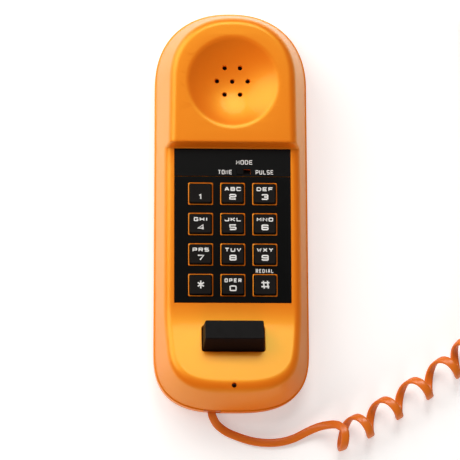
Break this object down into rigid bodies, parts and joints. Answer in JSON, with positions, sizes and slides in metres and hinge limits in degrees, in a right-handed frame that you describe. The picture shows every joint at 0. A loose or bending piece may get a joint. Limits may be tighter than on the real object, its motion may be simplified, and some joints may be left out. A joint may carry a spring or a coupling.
{
  "type": "one-piece keypad telephone",
  "caption": "One-piece corded telephone: dished earpiece, twelve-key pad, hook plunger in a sloping chin, flat curly line cord with modular plug.",
  "frame": {"origin": "bottom centre of the housing's box, on the table, cord left out", "axes": "+Y to the ear end, +Z away from the table, +X to the right as the keypad is read"},
  "size_m": [0.1836, 0.287, 0.0467],
  "materials": {
    "orange_abs": "glossy moulded ABS",
    "black_panel": "satin printed film",
    "black_label": "satin printed film",
    "key_plastic": "fine textured moulding",
    "black_abs": "satin moulded ABS",
    "silicone": "moulded silicone",
    "board": "solder mask",
    "components": "moulded",
    "steel": "zinc plated",
    "cream_plastic": "moulded",
    "foam": "foam rubber",
    "capsule_metal": "drawn can",
    "cord_jacket": "PVC jacket",
    "clear_plug": "clear polycarbonate",
    "gold": "gold plated"
  },
  "bodies": {
    "housing": {"front_shell": "orange_abs", "back_shell": "orange_abs", "keypad_overlay": "black_panel", "label_plate": "black_label", "key_mat": "silicone", "circuit_board": "board", "board_parts": "components", "board_screws": "steel", "mode_switch": "steel", "hook_springs": "steel", "hook_switch": "cream_plastic", "receiver_gasket": "foam", "receiver_capsule": "capsule_metal", "receiver_retainer": "cream_plastic", "receiver_screws": "steel", "mic_boot": "foam", "mic_capsule": "capsule_metal", "ringer": "black_abs", "case_screws": "steel", "strain_relief": "cord_jacket", "cord_lead": "cord_jacket", "cord_curl": "cord_jacket", "cord_store": "cord_jacket", "cord_tail": "cord_jacket", "line_plug": "clear_plug", "plug_contacts": "gold"},
    "hook_plunger": {"hook_plunger": "black_abs"},
    "key_1": {"key_1": "key_plastic"},
    "key_2": {"key_2": "key_plastic"},
    "key_3": {"key_3": "key_plastic"},
    "key_4": {"key_4": "key_plastic"},
    "key_5": {"key_5": "key_plastic"},
    "key_6": {"key_6": "key_plastic"},
    "key_7": {"key_7": "key_plastic"},
    "key_8": {"key_8": "key_plastic"},
    "key_9": {"key_9": "key_plastic"},
    "key_star": {"key_star": "key_plastic"},
    "key_0": {"key_0": "key_plastic"},
    "key_hash": {"key_hash": "key_plastic"},
    "mode_knob": {"mode_knob": "black_abs"}
  },
  "joints": [
    {"name": "hook_press", "type": "slide", "parent": "housing", "child": "hook_plunger", "axis": [0, 0.2588, 0.9659], "range_m": [-0.008, 0], "stiffness_N_per_m": 120, "springref_m": 0.012, "deforming": ["hook_springs"]},
    {"name": "key_1_press", "type": "slide", "parent": "housing", "child": "key_1", "axis": [0, 0, 1], "range_m": [-0.0012, 0], "stiffness_N_per_m": 350, "springref_m": 0.001, "deforming": ["key_mat"]},
    {"name": "key_2_press", "type": "slide", "parent": "housing", "child": "key_2", "axis": [0, 0, 1], "range_m": [-0.0012, 0], "stiffness_N_per_m": 350, "springref_m": 0.001, "deforming": ["key_mat"]},
    {"name": "key_3_press", "type": "slide", "parent": "housing", "child": "key_3", "axis": [0, 0, 1], "range_m": [-0.0012, 0], "stiffness_N_per_m": 350, "springref_m": 0.001, "deforming": ["key_mat"]},
    {"name": "key_4_press", "type": "slide", "parent": "housing", "child": "key_4", "axis": [0, 0, 1], "range_m": [-0.0012, 0], "stiffness_N_per_m": 350, "springref_m": 0.001, "deforming": ["key_mat"]},
    {"name": "key_5_press", "type": "slide", "parent": "housing", "child": "key_5", "axis": [0, 0, 1], "range_m": [-0.0012, 0], "stiffness_N_per_m": 350, "springref_m": 0.001, "deforming": ["key_mat"]},
    {"name": "key_6_press", "type": "slide", "parent": "housing", "child": "key_6", "axis": [0, 0, 1], "range_m": [-0.0012, 0], "stiffness_N_per_m": 350, "springref_m": 0.001, "deforming": ["key_mat"]},
    {"name": "key_7_press", "type": "slide", "parent": "housing", "child": "key_7", "axis": [0, 0, 1], "range_m": [-0.0012, 0], "stiffness_N_per_m": 350, "springref_m": 0.001, "deforming": ["key_mat"]},
    {"name": "key_8_press", "type": "slide", "parent": "housing", "child": "key_8", "axis": [0, 0, 1], "range_m": [-0.0012, 0], "stiffness_N_per_m": 350, "springref_m": 0.001, "deforming": ["key_mat"]},
    {"name": "key_9_press", "type": "slide", "parent": "housing", "child": "key_9", "axis": [0, 0, 1], "range_m": [-0.0012, 0], "stiffness_N_per_m": 350, "springref_m": 0.001, "deforming": ["key_mat"]},
    {"name": "key_star_press", "type": "slide", "parent": "housing", "child": "key_star", "axis": [0, 0, 1], "range_m": [-0.0012, 0], "stiffness_N_per_m": 350, "springref_m": 0.001, "deforming": ["key_mat"]},
    {"name": "key_0_press", "type": "slide", "parent": "housing", "child": "key_0", "axis": [0, 0, 1], "range_m": [-0.0012, 0], "stiffness_N_per_m": 350, "springref_m": 0.001, "deforming": ["key_mat"]},
    {"name": "key_hash_press", "type": "slide", "parent": "housing", "child": "key_hash", "axis": [0, 0, 1], "range_m": [-0.0012, 0], "stiffness_N_per_m": 350, "springref_m": 0.001, "deforming": ["key_mat"]},
    {"name": "mode_slide", "type": "slide", "parent": "housing", "child": "mode_knob", "axis": [1, 0, 0], "range_m": [0, 0.0036]}
  ]
}
